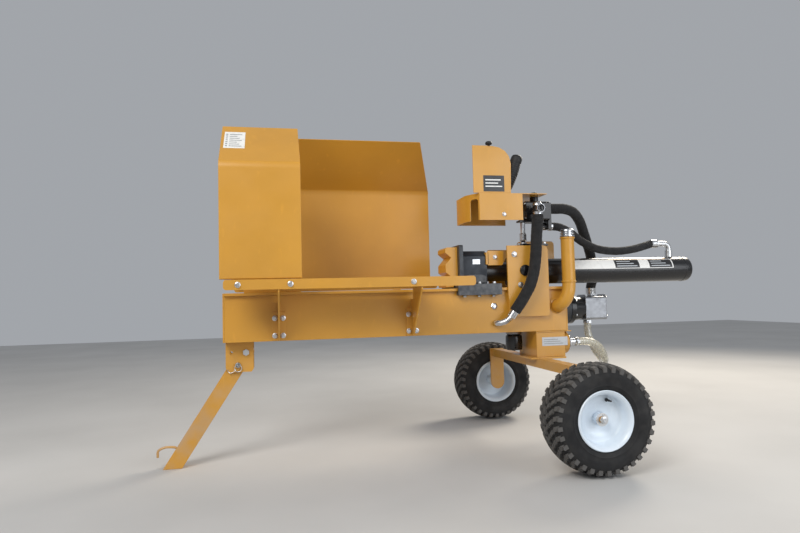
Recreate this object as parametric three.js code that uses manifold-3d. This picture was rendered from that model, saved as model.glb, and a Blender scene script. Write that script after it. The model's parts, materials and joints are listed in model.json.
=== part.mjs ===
// Horizontal hydraulic log splitter on two wheels and a folding front leg.
// Millimetres. +X runs along the beam to the cap end of the cylinder, +Z is up and
// the origin is on the ground, under the middle of the machine.
import * as THREE from 'three';
import { mergeVertices } from 'three/addons/utils/BufferGeometryUtils.js';
import Module from 'manifold-3d';

const wasm = await Module();
wasm.setup();

// ---------------------------------------------------------------- driving dimensions
const GAP = 0.3;
const BEAM = { x0: -945, x1: 525, half: 100, z0: 496, z1: 680, wall: 6 };
const SLIDE = { half: 114, z0: BEAM.z1 + GAP, z1: 692 };
const END_PLATE = 6;
const WHEEL = { x: 400, y: 549, radius: 203, width: 156, bead: 108, bore: 13 };
const AXLE = { half: 25, z0: 338, z1: 378, reach: 452 };
const DROP = { half: 36, thick: 10 };
const TRAY = { x0: -932, x1: 40, y: 300, z: 739, leg: 38, thick: 5 };
const BRACKETS = { front: -732, rear: -180, thick: 6 };
const SHIELD = { x0: -946, near: -645, far: 4, y: 292, z0: 741, fold: 1175, top: 1374, lean: 214, sheet: 3 };
const PIVOT = { x: -865, z: 451, bolt: 8 };
const LEG = { half: 31, halfY: 26, wall: 4, angle: 32.7, pin: 59, slot: 9 };
const CHEEK = { x0: -946, x1: -836, z0: 372, y0: 32, y1: 38 };
const CYL = { z: 765, outer: 58, inner: 51, x0: 318, x1: 1180, end: 1216, neck: 43, neckX: 180, rod: 25 };
const PLATE = { x0: 246, x1: 436, z0: 566, z1: 874, y0: BEAM.half + GAP, thick: 10, ear: 146 };
const TRUNNION = { x: 326, pin: 13, ring: 76, width: 56 };
const RAM = { face: -16, plate: 39, block: 58, back: 176, top: 858 };
const GIB = { x0: 18, x1: 214, z0: 662, z1: 710, out: 132 };
const GUARD = { x0: 80, corner: 118, x1: 315, lip: 430, y0: -150, y1: 60, z0: 983, z1: 1100, sheet: 3 };
const LEVER = { x: 228, y: -116, z: 1060, rod: 8, tilt: 22 };
const VALVE = { x0: 352, x1: 462, y0: -104, y1: -22, z0: 988, z1: 1074 };
const PORT = { x: 380, y: -156, z: 1030 };
const SPOOL = { y: -62, z: 1030, radius: 11 };
const FILLER = { x: 520, y: -146, shift: 38, entry: 606, outer: 29, inner: 25.5, top: 908 };
const SUMP = { x0: 380, x1: 515, half: 98, z0: 382, wall: 4 };
const PUMP = { x: 768, length: 116, y: 214, z: 584, half: 58, depth: 46 };
const BELL = { x0: 682, radius: 64, wall: 6 };
const MOTOR = { x0: 380, radius: 88 };
const SHAFT = 12;

// ---------------------------------------------------------------- geometry helpers
function signedVolume(position, index) {
  const a = new THREE.Vector3();
  const b = new THREE.Vector3();
  const c = new THREE.Vector3();
  let sum = 0;
  for (let i = 0; i < index.length; i += 3) {
    a.fromBufferAttribute(position, index[i]);
    b.fromBufferAttribute(position, index[i + 1]);
    c.fromBufferAttribute(position, index[i + 2]);
    sum += a.dot(b.cross(c));
  }
  return sum;
}

// One closed skin with shared vertices, no needle triangles and its faces outward.
function weld(geometry) {
  const bare = geometry.clone();
  bare.deleteAttribute('normal');
  bare.deleteAttribute('uv');
  const merged = mergeVertices(bare, 1e-3);
  const all = merged.getIndex().array;
  const index = [];
  for (let i = 0; i < all.length; i += 3) {
    const [a, b, c] = [all[i], all[i + 1], all[i + 2]];
    if (a !== b && b !== c && a !== c) index.push(a, b, c);
  }
  if (signedVolume(merged.getAttribute('position'), index) < 0) index.reverse();
  merged.setIndex(index);
  return merged;
}

function toSolid(geometry) {
  const skin = weld(geometry);
  const vertProperties = new Float32Array(skin.getAttribute('position').array);
  const triVerts = new Uint32Array(skin.getIndex().array);
  return new wasm.Manifold(new wasm.Mesh({ numProp: 3, vertProperties, triVerts }));
}

function fromSolid(solid) {
  const mesh = solid.getMesh();
  const geometry = new THREE.BufferGeometry();
  geometry.setAttribute('position', new THREE.BufferAttribute(mesh.vertProperties, 3));
  geometry.setIndex(new THREE.BufferAttribute(mesh.triVerts, 1));
  return geometry;
}

function cut(base, ...tools) {
  return fromSolid(tools.reduce((solid, tool) => solid.subtract(toSolid(tool)), toSolid(base)));
}

function join(base, ...others) {
  return fromSolid(others.reduce((solid, other) => solid.add(toSolid(other)), toSolid(base)));
}

function block(x0, x1, y0, y1, z0, z1) {
  const geometry = new THREE.BoxGeometry(x1 - x0, y1 - y0, z1 - z0);
  return geometry.translate((x0 + x1) / 2, (y0 + y1) / 2, (z0 + z1) / 2);
}

function outline(points) {
  return new THREE.Shape(points.map(([u, v]) => new THREE.Vector2(u, v)));
}

function slab(shape, depth) {
  return new THREE.ExtrudeGeometry(shape, { depth, bevelEnabled: false, curveSegments: 4 });
}

// Flat outlines drawn in XZ, YZ or XY and given a thickness along the third axis.
function plateXZ(shape, y0, y1) {
  return slab(shape, y1 - y0).rotateX(Math.PI / 2).translate(0, y1, 0);
}

function plateYZ(shape, x0, x1) {
  const turn = new THREE.Matrix4().makeBasis(
    new THREE.Vector3(0, 1, 0), new THREE.Vector3(0, 0, 1), new THREE.Vector3(1, 0, 0));
  return slab(shape, x1 - x0).applyMatrix4(turn).translate(x0, 0, 0);
}

function plateXY(shape, z0, z1) {
  return slab(shape, z1 - z0).translate(0, 0, z0);
}

function roundedRect(u0, u1, v0, v1, r) {
  const shape = new THREE.Shape();
  shape.moveTo(u0 + r, v0);
  shape.lineTo(u1 - r, v0);
  shape.absarc(u1 - r, v0 + r, r, -Math.PI / 2, 0);
  shape.lineTo(u1, v1 - r);
  shape.absarc(u1 - r, v1 - r, r, 0, Math.PI / 2);
  shape.lineTo(u0 + r, v1);
  shape.absarc(u0 + r, v1 - r, r, Math.PI / 2, Math.PI);
  shape.lineTo(u0, v0 + r);
  shape.absarc(u0 + r, v0 + r, r, Math.PI, Math.PI * 1.5);
  return shape;
}

function rod(radius, from, to, sides = 16) {
  const start = new THREE.Vector3(...from);
  const end = new THREE.Vector3(...to);
  const along = end.clone().sub(start);
  const geometry = new THREE.CylinderGeometry(radius, radius, along.length(), sides);
  const turn = new THREE.Quaternion().setFromUnitVectors(new THREE.Vector3(0, 1, 0), along.normalize());
  const middle = start.add(end).multiplyScalar(0.5);
  return geometry.applyQuaternion(turn).translate(middle.x, middle.y, middle.z);
}

const AXES = { x: new THREE.Vector3(1, 0, 0), y: new THREE.Vector3(0, 1, 0), z: new THREE.Vector3(0, 0, 1) };

// A turned piece: the profile is a list of [radius, height along the axis].
function turned(profile, axis, at, sides = 32) {
  const points = profile.map(([radius, height]) => new THREE.Vector2(radius, height));
  const turn = new THREE.Quaternion().setFromUnitVectors(AXES.y, AXES[axis]);
  return new THREE.LatheGeometry(points, sides).applyQuaternion(turn).translate(...at);
}

function ringAlong(axis, at, outer, inner, length, sides = 32) {
  const profile = [[inner, 0], [outer, 0], [outer, length], [inner, length], [inner, 0]];
  return turned(profile, axis, at, sides);
}

function sweep(points, radius, sides = 10, steps = 24) {
  const path = new THREE.CatmullRomCurve3(points.map((p) => new THREE.Vector3(...p)), false, 'centripetal');
  const corners = [];
  for (let i = 0; i < sides; i += 1) {
    const angle = (2 * Math.PI * i) / sides;
    corners.push([radius * Math.cos(angle), radius * Math.sin(angle)]);
  }
  return new THREE.ExtrudeGeometry(outline(corners), { steps, bevelEnabled: false, extrudePath: path });
}

// ---------------------------------------------------------------- finishes
const FINISHES = {
  paint: [0xd99a2b, 0.42, 0.1],
  rim: [0xe4e6e8, 0.45, 0.1],
  rubber: [0x16161a, 0.85, 0],
  black: [0x17181b, 0.35, 0.2],
  steel: [0x2c2f36, 0.45, 0.8],
  chrome: [0xcfd2d6, 0.18, 1],
  zinc: [0xb9bcc0, 0.35, 0.9],
  alloy: [0xb4b6b8, 0.4, 0.9],
  hose: [0x101012, 0.9, 0],
  clear: [0xc9cdc4, 0.3, 0],
  motor: [0x24272b, 0.5, 0.2],
};

const group = new THREE.Group();

function add(name, finish, geometry) {
  const [color, roughness, metalness] = FINISHES[finish];
  const material = new THREE.MeshStandardMaterial({ color, roughness, metalness });
  const mesh = new THREE.Mesh(weld(geometry), material);
  mesh.name = name;
  group.add(mesh);
}

// Mirrored pairs are made by one function that is told which side it is on.
const SIDES = [['near', -1], ['far', 1]];

function between(side, a, b) {
  return [Math.min(side * a, side * b), Math.max(side * a, side * b)];
}

// ---------------------------------------------------------------- beam
function beamBox() {
  const { x0, x1, half, z0, z1, wall } = BEAM;
  const outer = block(x0, x1, -half, half, z0, z1);
  const inner = block(x0 - 1, x1 + 1, -half + wall, half - wall, z0 + wall, z1 - wall);
  const fillerX = FILLER.x - FILLER.shift;
  const filler = rod(FILLER.inner, [fillerX, -half - 5, FILLER.entry], [fillerX, -half + wall + 5, FILLER.entry]);
  return cut(outer, inner, filler);
}

function frontEndPlate() {
  return block(BEAM.x0 - GAP - END_PLATE, BEAM.x0 - GAP, -BEAM.half, BEAM.half, BEAM.z0, SLIDE.z1);
}

function rearEndPlate() {
  const x0 = BEAM.x1 + GAP;
  return block(x0, x0 + END_PLATE, -BEAM.half, BEAM.half, BEAM.z0, SLIDE.z1);
}

function splittingWedge() {
  const floor = SLIDE.z1 + GAP;
  const base = block(-870, -640, -70, 70, floor, floor + 16);
  const plan = outline([[-650, 0], [-720, 24], [-850, 34], [-850, -34], [-720, -24]]);
  const side = outline([[-860, floor + 10], [-645, floor + 10], [-665, 930], [-860, 930]]);
  const blade = fromSolid(toSolid(plateXY(plan, floor + 8, 930)).intersect(toSolid(plateXZ(side, -40, 40))));
  return join(base, blade);
}

// ---------------------------------------------------------------- folding leg
function cheekShape() {
  const { x0, x1, z0 } = CHEEK;
  return outline([[x0, BEAM.z0 - GAP], [x0, z0 + 18], [x0 + 12, z0], [x1 - 8, z0], [x1, z0 + 10],
    [x1, BEAM.z0 - GAP]]);
}

function legPinPlace() {
  const angle = THREE.MathUtils.degToRad(LEG.angle);
  return [PIVOT.x - LEG.pin * Math.sin(angle), PIVOT.z - LEG.pin * Math.cos(angle)];
}

function legBracket() {
  const { x0, x1, y0, y1 } = CHEEK;
  const [pinX, pinZ] = legPinPlace();
  const web = block(x0, x1, -y1, y1, BEAM.z0 - GAP - 6, BEAM.z0 - GAP);
  const cheeks = [plateXZ(cheekShape(), -y1, -y0), plateXZ(cheekShape(), y0, y1)];
  const raised = [PIVOT.x - LEG.pin, PIVOT.z];
  return cut(join(web, ...cheeks),
    rod(PIVOT.bolt + 0.5, [PIVOT.x, -60, PIVOT.z], [PIVOT.x, 60, PIVOT.z]),
    rod(6.8, [pinX, -60, pinZ], [pinX, 60, pinZ]),
    rod(6.8, [raised[0], -60, raised[1]], [raised[0], 60, raised[1]]));
}

function legPivotBolt() {
  const { x, z, bolt } = PIVOT;
  const shank = rod(bolt, [x, -46, z], [x, 46, z]);
  const head = rod(bolt * 1.75, [x, -48, z], [x, -CHEEK.y1 - GAP, z], 6);
  const nut = rod(bolt * 1.75, [x, CHEEK.y1 + GAP, z], [x, 50, z], 6);
  return join(shank, head, nut);
}

// The leg is drawn hanging straight down from its pivot, then turned to its working angle.
function legLength() {
  return PIVOT.z / Math.cos(THREE.MathUtils.degToRad(LEG.angle));
}

function turnLeg(geometry) {
  return geometry.rotateY(THREE.MathUtils.degToRad(LEG.angle)).translate(PIVOT.x, 0, PIVOT.z);
}

function legSlot() {
  const { pin, slot } = LEG;
  const from = THREE.MathUtils.degToRad(-98);
  const to = THREE.MathUtils.degToRad(-20);
  const shape = new THREE.Shape();
  shape.absarc(0, 0, pin + slot, from, to, false);
  shape.absarc(0, 0, pin - slot, to, from, true);
  return plateXZ(shape, -50, 50);
}

function legTube() {
  const { half, halfY, wall } = LEG;
  const long = legLength() + 60;
  const body = join(block(-half, half, -halfY, halfY, -long, 0), rod(half, [0, -halfY, 0], [0, halfY, 0], 28));
  const hollow = block(-half + wall, half - wall, -halfY + wall, halfY - wall, -long - 5, -8);
  const bore = rod(PIVOT.bolt + 0.5, [0, -50, 0], [0, 50, 0]);
  const tube = turnLeg(cut(body, hollow, bore, legSlot()));
  return cut(tube, block(-1500, -700, -100, 100, -200, 0));
}

function legHandle() {
  const y = -12;
  const tipX = LEG.half + GAP;
  const path = [[-tipX, y, -462], [-tipX - 5, y, -462], [-tipX - 11, y, -464], [-tipX - 40, y, -482],
    [-tipX - 54, y, -505], [-tipX - 42, y, -528]];
  return turnLeg(sweep(path, 5, 8, 20));
}

function legLockPin() {
  const [x, z] = legPinPlace();
  const shank = rod(6, [x, -44, z], [x, 46, z], 16);
  const head = rod(10, [x, -52, z], [x, -42, z], 16);
  return join(shank, head);
}

// ---------------------------------------------------------------- log tray
function trayRail(side) {
  const { x0, x1, y, z, leg, thick } = TRAY;
  const [ya, yb] = between(side, y - thick, y);
  const upright = plateXZ(roundedRect(x0, x1, z - leg, z, 12), ya, yb);
  const [yc, yd] = between(side, y - leg, y - 1);
  const shelf = plateXY(roundedRect(x0 + 4, x1 - 4, yc, yd, 6), z - thick, z);
  const clear = BRACKETS.thick / 2 + GAP;
  const edge = side * (GIB.out + 8);
  const floor = outline([[side * (y - 2), z - leg + 3], [side * (y - 2), z - leg + 7], [edge, z - 38], [edge, z - 42]]);
  return join(upright, shelf, plateYZ(floor, BRACKETS.front + clear, BRACKETS.rear - clear));
}

function trayBracket(x, side) {
  const half = BRACKETS.thick / 2;
  const top = TRAY.z - TRAY.thick - GAP;
  const inner = BEAM.half + GAP;
  const outer = TRAY.y - TRAY.thick - GAP;
  const shoulder = GIB.out + 6;
  const step = GIB.z0 - 10;
  const web = outline([[side * inner, BEAM.z0 + 2], [side * (inner + 24), BEAM.z0 + 2],
    [side * outer, top - 44], [side * outer, top], [side * shoulder, top],
    [side * shoulder, step], [side * inner, step]]);
  const [ya, yb] = between(side, inner, inner + 5);
  const foot = block(x - 26, x + 26, ya, yb, BEAM.z0 + 2, BEAM.z0 + 118);
  return join(plateYZ(web, x - half, x + half), foot);
}

// ---------------------------------------------------------------- hood shields
function shieldSection(side) {
  const { y, z0, fold, top, lean, sheet } = SHIELD;
  return outline([[side * (y - 24), z0], [side * y, z0], [side * y, fold], [side * (y - lean), top],
    [side * (y - lean - sheet), top - sheet], [side * (y - sheet), fold - 1], [side * (y - sheet), z0 + sheet],
    [side * (y - 24), z0 + sheet]]);
}

function shield(side, x1, slope) {
  const sheet = plateYZ(shieldSection(side), SHIELD.x0, x1);
  if (slope === 0) return sheet;
  const corner = outline([[x1 + 5, SHIELD.fold], [x1 + 5, SHIELD.top + 20], [x1 - slope - 26, SHIELD.top + 20],
    [x1 - slope, SHIELD.top - 12]]);
  const [ya, yb] = between(side, 0, SHIELD.y + 10);
  return cut(sheet, plateXZ(corner, ya, yb));
}

// ---------------------------------------------------------------- cylinder and its mounting
// The plate stands outside the slide plate and is packed out to the beam below it.
function mountPlate(side) {
  const { x0, x1, z0, z1, y0, thick, ear } = PLATE;
  const round = 22;
  const face = SLIDE.half + GAP;
  const shape = new THREE.Shape();
  shape.moveTo(x0 + 12, z0 + 8);
  shape.absarc(x0 + 22, z0 + 8, 10, Math.PI, Math.PI * 1.5);
  shape.lineTo(x1 - 14, z0 - 2);
  shape.absarc(x1 - 14, z0 + 12, 14, -Math.PI / 2, 0);
  shape.lineTo(x1, z1 - round);
  shape.absarc(x1 - round, z1 - round, round, 0, Math.PI / 2);
  shape.lineTo(x0, z1);
  shape.lineTo(x0, z0 + 90);
  const plate = plateXZ(shape, ...between(side, face, face + thick));
  const packer = block(x0 + 14, x1 - 2, ...between(side, y0, face + 1), z0, SLIDE.z0 - GAP);
  const eye = rod(TRUNNION.pin + 0.4, [TRUNNION.x, -200, CYL.z], [TRUNNION.x, 200, CYL.z]);
  if (side < 0) return cut(join(plate, packer), eye);
  const lug = plateXZ(roundedRect(x1 - 40, x1 + ear, z1 - 90, z1 + 40, 16), face, face + thick);
  return cut(join(plate, packer, lug), eye);
}

function trunnionRing() {
  const { x, pin, ring, width } = TRUNNION;
  const reach = SLIDE.half + PLATE.thick + 8;
  const band = ringAlong('x', [x - width / 2, 0, CYL.z], ring - 8, CYL.outer + GAP, width);
  const near = rod(pin, [x, -reach, CYL.z], [x, -CYL.outer - 4, CYL.z]);
  const far = rod(pin, [x, CYL.outer + 4, CYL.z], [x, reach, CYL.z]);
  return join(band, near, far);
}

function cylinderTube() {
  return ringAlong('x', [CYL.x0, 0, CYL.z], CYL.outer, CYL.inner, CYL.x1 - CYL.x0, 40);
}

function cylinderGland() {
  const bore = CYL.rod + GAP;
  const start = CYL.neckX;
  const long = CYL.x0 - start - GAP;
  const profile = [[bore, 0], [CYL.neck, 0], [CYL.neck, long - 24], [CYL.outer, long - 24], [CYL.outer, long],
    [CYL.inner - GAP, long], [CYL.inner - GAP, long + 30], [bore, long + 30], [bore, 0]];
  return turned(profile, 'x', [start, 0, CYL.z]);
}

function cylinderCap() {
  const start = CYL.x1 + GAP;
  const long = CYL.end - start;
  const profile = [[0, 0], [CYL.outer, 0], [CYL.outer, long - 12], [CYL.outer - 4, long - 4],
    [CYL.outer - 14, long], [0, long]];
  return turned(profile, 'x', [start, 0, CYL.z], 40);
}

function pistonRod() {
  const start = RAM.back + GAP;
  const piston = 1130;
  const profile = [[0, start], [CYL.rod, start], [CYL.rod, piston], [CYL.inner - GAP, piston],
    [CYL.inner - GAP, piston + 36], [0, piston + 36]];
  return turned(profile, 'x', [0, 0, CYL.z], 32);
}

// ---------------------------------------------------------------- ram
function ramCarriage() {
  const floor = SLIDE.z1 + 0.5;
  const slab = block(GIB.x0 + 18, GIB.x1 - 38, -86, 86, floor, floor + 18);
  const body = block(RAM.block, RAM.back, -56, 56, floor + 10, RAM.top);
  const chamfer = 26;
  const wedgeCut = outline([[56 - chamfer, RAM.top + 1], [57, RAM.top + 1], [57, RAM.top - chamfer]]);
  const mirrored = outline([[chamfer - 56, RAM.top + 1], [-57, RAM.top + 1], [-57, RAM.top - chamfer]]);
  return cut(join(slab, body), plateYZ(wedgeCut, 60, 200), plateYZ(mirrored, 60, 200));
}

function pusherPlate() {
  const floor = SLIDE.z1 + 19;
  return plateYZ(roundedRect(-88, 88, floor, 882, 10), RAM.plate, RAM.block - GAP);
}

function pusherHead() {
  const { face, plate } = RAM;
  const z = [SLIDE.z1 + 6, 742, 760, 790, 808, 850, 873];
  const side = outline([[face, z[0]], [plate - GAP, z[0]], [plate - GAP, z[6]], [face + 8, z[6]], [face, z[6] - 8],
    [face, z[5]], [face + 26, z[4] + 20], [face, z[3] + 6], [face, z[2] + 4], [face + 26, z[1] + 2],
    [face, z[0] + 26]]);
  return cut(plateXZ(side, -62, 62), block(plate - 20, plate + 5, -100, 100, 0, SLIDE.z1 + 18.5));
}

function gib(side) {
  const { x0, x1, z0, z1, out } = GIB;
  const [ya, yb] = between(side, SLIDE.half + 2, out);
  const post = block(x0, x1, ya, yb, z0, z1);
  const [yc, yd] = between(side, BEAM.half + 1, out);
  const keeper = block(x0, x1, yc, yd, z0, SLIDE.z0 - 2);
  const [ye, yf] = between(side, 87, out);
  const lid = block(x0, x1, ye, yf, SLIDE.z1 + 1, z1);
  return join(post, keeper, lid);
}

// ---------------------------------------------------------------- valve and controls
function valveStand() {
  const foot = block(326, 446, -110, -24, PLATE.z1 + GAP, PLATE.z1 + 8);
  const neck = plateXZ(outline([[384, PLATE.z1 + 4], [440, PLATE.z1 + 4], [430, VALVE.z0 - GAP],
    [394, VALVE.z0 - GAP]]), -70, -58);
  const seat = block(370, 440, -90, -36, VALVE.z0 - 8, VALVE.z0 - GAP);
  const stud = rod(9, [336, -92, PLATE.z1 + 4], [336, -92, GUARD.z0 + 20], 12);
  const shelf = block(318, 376, -104, -64, VALVE.z0 - 8, VALVE.z0 - GAP);
  return join(foot, neck, seat, shelf, stud);
}

function valveBody() {
  const { x0, x1, y0, y1, z0, z1 } = VALVE;
  const casting = plateYZ(roundedRect(y0, y1, z0, z1, 10), x0, x1);
  const relief = rod(19, [408, -62, z1 - 5], [408, -62, z1 + 24], 20);
  const cap = rod(14, [408, -62, z1 + 20], [408, -62, z1 + 44], 6);
  const bore = rod(SPOOL.radius + 0.4, [x0 - 5, SPOOL.y, SPOOL.z], [x1 - 8, SPOOL.y, SPOOL.z]);
  const { x, y, z } = PORT;
  const port = rod(15, [x, y0 + 5, z], [x, y, z]);
  const drop = rod(20, [x, y, z + 18], [x, y, z - 25]);
  return cut(join(casting, relief, cap, port, drop), bore);
}

function valveSpool() {
  const stem = rod(SPOOL.radius, [VALVE.x0 - 46, SPOOL.y, SPOOL.z], [VALVE.x1 - 30, SPOOL.y, SPOOL.z]);
  const eye = block(VALVE.x0 - 62, VALVE.x0 - 38, SPOOL.y - 7, SPOOL.y + 7, SPOOL.z - 12, SPOOL.z + 12);
  return join(stem, eye);
}

function controlGuard() {
  const { x0, corner, x1, lip, y0, y1, z0, z1, sheet } = GUARD;
  const plan = outline([[lip, y0], [lip, y1], [x0, y1], [x0, y0 + 84], [corner, y0]]);
  const inner = outline([[lip + 20, y0 + sheet], [lip + 20, y1 - sheet], [x0 + sheet, y1 - sheet],
    [x0 + sheet, y0 + 85], [corner + 1, y0 + sheet]]);
  const shell = plateXY(plan, z0, z1);
  const hollow = plateXY(inner, z0 - 5, z1 - sheet);
  const openSides = block(x1, lip + 5, y0 - 5, y1 + 5, z0 - 5, z1 - sheet);
  const arch = roundedRect(y0 + 8, y0 + 55, z0 - 40, z1 - 24, 14);
  const window = plateYZ(arch, x0 - 5, corner + 5);
  const slot = block(LEVER.x - 18, LEVER.x + 54, LEVER.y - 13, LEVER.y + 13, z1 - 10, z1 + 10);
  const capHole = rod(22, [408, SPOOL.y, z1 - 10], [408, SPOOL.y, z1 + 10]);
  return cut(shell, hollow, openSides, window, slot, capHole);
}

function leverGuard() {
  const x0 = GUARD.x0 + 13;
  const y0 = GUARD.y0 + 0.5;
  const z1 = GUARD.z1 + GAP;
  const shape = new THREE.Shape();
  shape.moveTo(x0, z1);
  shape.lineTo(x0 + 170, z1);
  shape.lineTo(x0 + 174, z1 + 130);
  shape.quadraticCurveTo(x0 + 168, z1 + 202, x0 + 84, z1 + 206);
  shape.lineTo(x0, z1 + 206);
  return plateXZ(shape, y0, y0 + 4);
}

function leverPoint(distance) {
  const angle = THREE.MathUtils.degToRad(LEVER.tilt);
  return [LEVER.x + distance * Math.sin(angle), LEVER.y, LEVER.z + distance * Math.cos(angle)];
}

function controlLever() {
  const stick = rod(LEVER.rod, leverPoint(0), leverPoint(70), 14);
  const hub = rod(14, [LEVER.x, LEVER.y - 12, LEVER.z], [LEVER.x, SPOOL.y + 8, LEVER.z], 18);
  const arm = block(LEVER.x - 7, LEVER.x + 7, SPOOL.y - 7, SPOOL.y + 7, SPOOL.z - 4, LEVER.z);
  return join(stick, hub, arm);
}

function leverGrip() {
  const turn = THREE.MathUtils.degToRad(LEVER.tilt);
  const profile = [[0, 0], [21, 0], [26, 12], [28, 50], [28, 130], [24, 152], [14, 160], [0, 160]];
  return turned(profile, 'z', [0, 0, 70.3], 18).rotateY(turn).translate(LEVER.x, LEVER.y, LEVER.z);
}

// ---------------------------------------------------------------- hoses and fittings
const HOSES = {
  hose_return: { radius: 25, route: [[380, -156, 1004.4], [380, -156, 986], [376, -157, 960], [368, -160, 900],
    [361, -164, 830], [349, -166, 760], [330, -165, 700], [306, -161, 656], [286.2, -156.6, 624.1],
    [273, -153, 604.4], [262, -150, 588]] },
  hose_pressure: { radius: 24, route: [[501, -62, 1046], [520, -62, 1046], [550, -62, 1046], [600, -52, 1034],
    [646, -24, 1000], [690, 20, 950], [732, 64, 896], [768, 100, 838], [798, 140, 775], [818, 184, 722],
    [824, 210, 694], [824, 214, 674], [824, 214, 654]] },
  hose_cylinder: { radius: 19, route: [[487, -38, 968], [506, -38, 968], [540, -38, 964], [590, -38, 940],
    [646, -40, 898], [720, -40, 864], [820, -36, 852], [920, -24, 862], [1000, -6, 880], [1032, 0, 888.3],
    [1046, 0, 888.3], [1060, 0, 888.3]] },
};

function hose({ route, radius }) {
  return sweep(route, radius, 8, 28);
}

function valveFittings() {
  const face = VALVE.x1 + GAP;
  const manifold = block(face, face + 16, -86, -24, VALVE.z0 - 36, VALVE.z1 - 4);
  const high = rod(14, [face + 10, -62, 1046], [500, -62, 1046], 12);
  const low = rod(12, [face + 10, -38, 968], [486, -38, 968], 12);
  return join(manifold, high, low);
}

function returnFitting() {
  const ferrule = rod(20, [261.4, -149.8, 587.2], [245.5, -145.5, 563.4], 14);
  const tube = sweep([[248, -146, 567], [230, -140, 550], [208, -128, 540], [190, -113, 538],
    [190, -BEAM.half - GAP, 538]], 13, 12, 16);
  return join(ferrule, tube);
}

function capPort() {
  const top = CYL.z + CYL.outer + GAP;
  const collar = rod(17, [1124, 0, top], [1124, 0, top + 32], 16);
  const elbow = sweep([[1124, 0, top + 26], [1124, 0, top + 50], [1110, 0, top + 63], [1090, 0, top + 65],
    [1076, 0, top + 65], [1061, 0, top + 65]], 13, 12, 14);
  return join(cut(collar, rod(CYL.outer + GAP, [1000, 0, CYL.z], [1200, 0, CYL.z], 40)), elbow);
}

// ---------------------------------------------------------------- oil tank
// The pipe drops beside the beam and turns into its near side.
function fillerPipe() {
  const { x, y, shift, entry, outer, inner, top } = FILLER;
  const section = new THREE.Shape().absarc(0, 0, outer, 0, 2 * Math.PI);
  section.holes.push(new THREE.Path().absarc(0, 0, inner, 0, 2 * Math.PI, true));
  const end = x - shift;
  const points = [[end, y + 62, entry], [end, y + 46, entry], [end + 4, y + 28, entry + 3],
    [end + 13, y + 13, entry + 14], [end + 26, y + 3, entry + 36], [x - 3, y, entry + 66], [x, y, entry + 98],
    [x, y, 800], [x, y, top]];
  const path = new THREE.CatmullRomCurve3(points.map((p) => new THREE.Vector3(...p)), false, 'centripetal');
  const pipe = new THREE.ExtrudeGeometry(section,
    { steps: 18, curveSegments: 9, bevelEnabled: false, extrudePath: path });
  return cut(pipe, block(x - 160, x + 60, -BEAM.half - GAP, BEAM.half, BEAM.z0, SLIDE.z1 + 20));
}

function fillerCap() {
  const plug = FILLER.inner - 2.5;
  const profile = [[0, -46], [8, -46], [8, -20], [plug, -20], [plug, GAP], [FILLER.outer + 3, GAP],
    [FILLER.outer + 3, 30], [FILLER.outer - 6, 36], [0, 36]];
  return turned(profile, 'z', [FILLER.x, FILLER.y, FILLER.top], 24);
}

function tankSump() {
  const { x0, x1, half, z0, wall } = SUMP;
  const z1 = BEAM.z0 - GAP;
  const box = block(x0, x1, -half, half, z0, z1);
  const inner = block(x0 + wall, x1 - wall, -half + wall, half - wall, z0 + wall, z1 + 5);
  const flange = rod(50, [x1 - 1, -46, 440], [x1 + 26, -46, 440], 28);
  const bore = rod(13, [x1 - 20, -46, 440], [x1 + 40, -46, 440], 16);
  return cut(join(cut(box, inner), flange), bore);
}

function suctionFitting() {
  const x = SUMP.x1 + 26 + GAP;
  const hex = rod(24, [x, -46, 440], [x + 20, -46, 440], 6);
  const barb = rod(15, [x + 18, -46, 440], [x + 52, -46, 440], 16);
  return join(hex, barb);
}

function suctionHose() {
  const x = SUMP.x1 + 78 + 2 * GAP;
  const port = PUMP.x + 30;
  return sweep([[x + GAP, -46, 440], [x + 14, -46, 440], [x + 60, -46, 438], [x + 108, -40, 420],
    [x + 146, -20, 384], [x + 178, 20, 350], [x + 206, 70, 334], [x + 222, 130, 344], [x + 220, 184, 384],
    [port + 4, 210, 440], [port, 214, 470], [port, 214, 492], [port, 214, PUMP.z - PUMP.half - GAP]], 18, 8, 34);
}

// ---------------------------------------------------------------- pump and motor
function bellHousing() {
  const { x0, radius, wall } = BELL;
  const long = PUMP.x - x0 - GAP;
  const profile = [[SHAFT + 8, long - 10], [SHAFT + 8, long], [PUMP.half - 4, long], [radius, 26], [radius + 12, 24],
    [radius + 12, 0], [radius - wall, 0], [radius - wall, 24], [PUMP.half - 14, long - 10], [SHAFT + 8, long - 10]];
  return turned(profile, 'x', [x0, PUMP.y, PUMP.z], 28);
}

function pumpBody() {
  const { x, length, y, z, half, depth } = PUMP;
  const body = plateYZ(roundedRect(y - depth, y + depth, z - half, z + half, 12), x, x + length);
  const boss = rod(17, [x + 54, y, z + half - 4], [x + 54, y, z + half + 9], 16);
  const bore = rod(SHAFT + 1, [x - 5, y, z], [x + 44, y, z]);
  return cut(join(body, boss), bore);
}

function driveMotor() {
  const { x0, radius } = MOTOR;
  const x1 = BELL.x0 - GAP;
  const long = x1 - x0;
  const profile = [[0, 0], [radius - 16, 0], [radius, 16], [radius, long - 14], [radius - 14, long - 14],
    [radius - 14, long], [0, long]];
  const shell = turned(profile, 'x', [x0, PUMP.y, PUMP.z], 32);
  const bore = rod(SHAFT + 1, [x1 - 60, PUMP.y, PUMP.z], [x1 + 5, PUMP.y, PUMP.z]);
  return cut(shell, bore);
}

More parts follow.
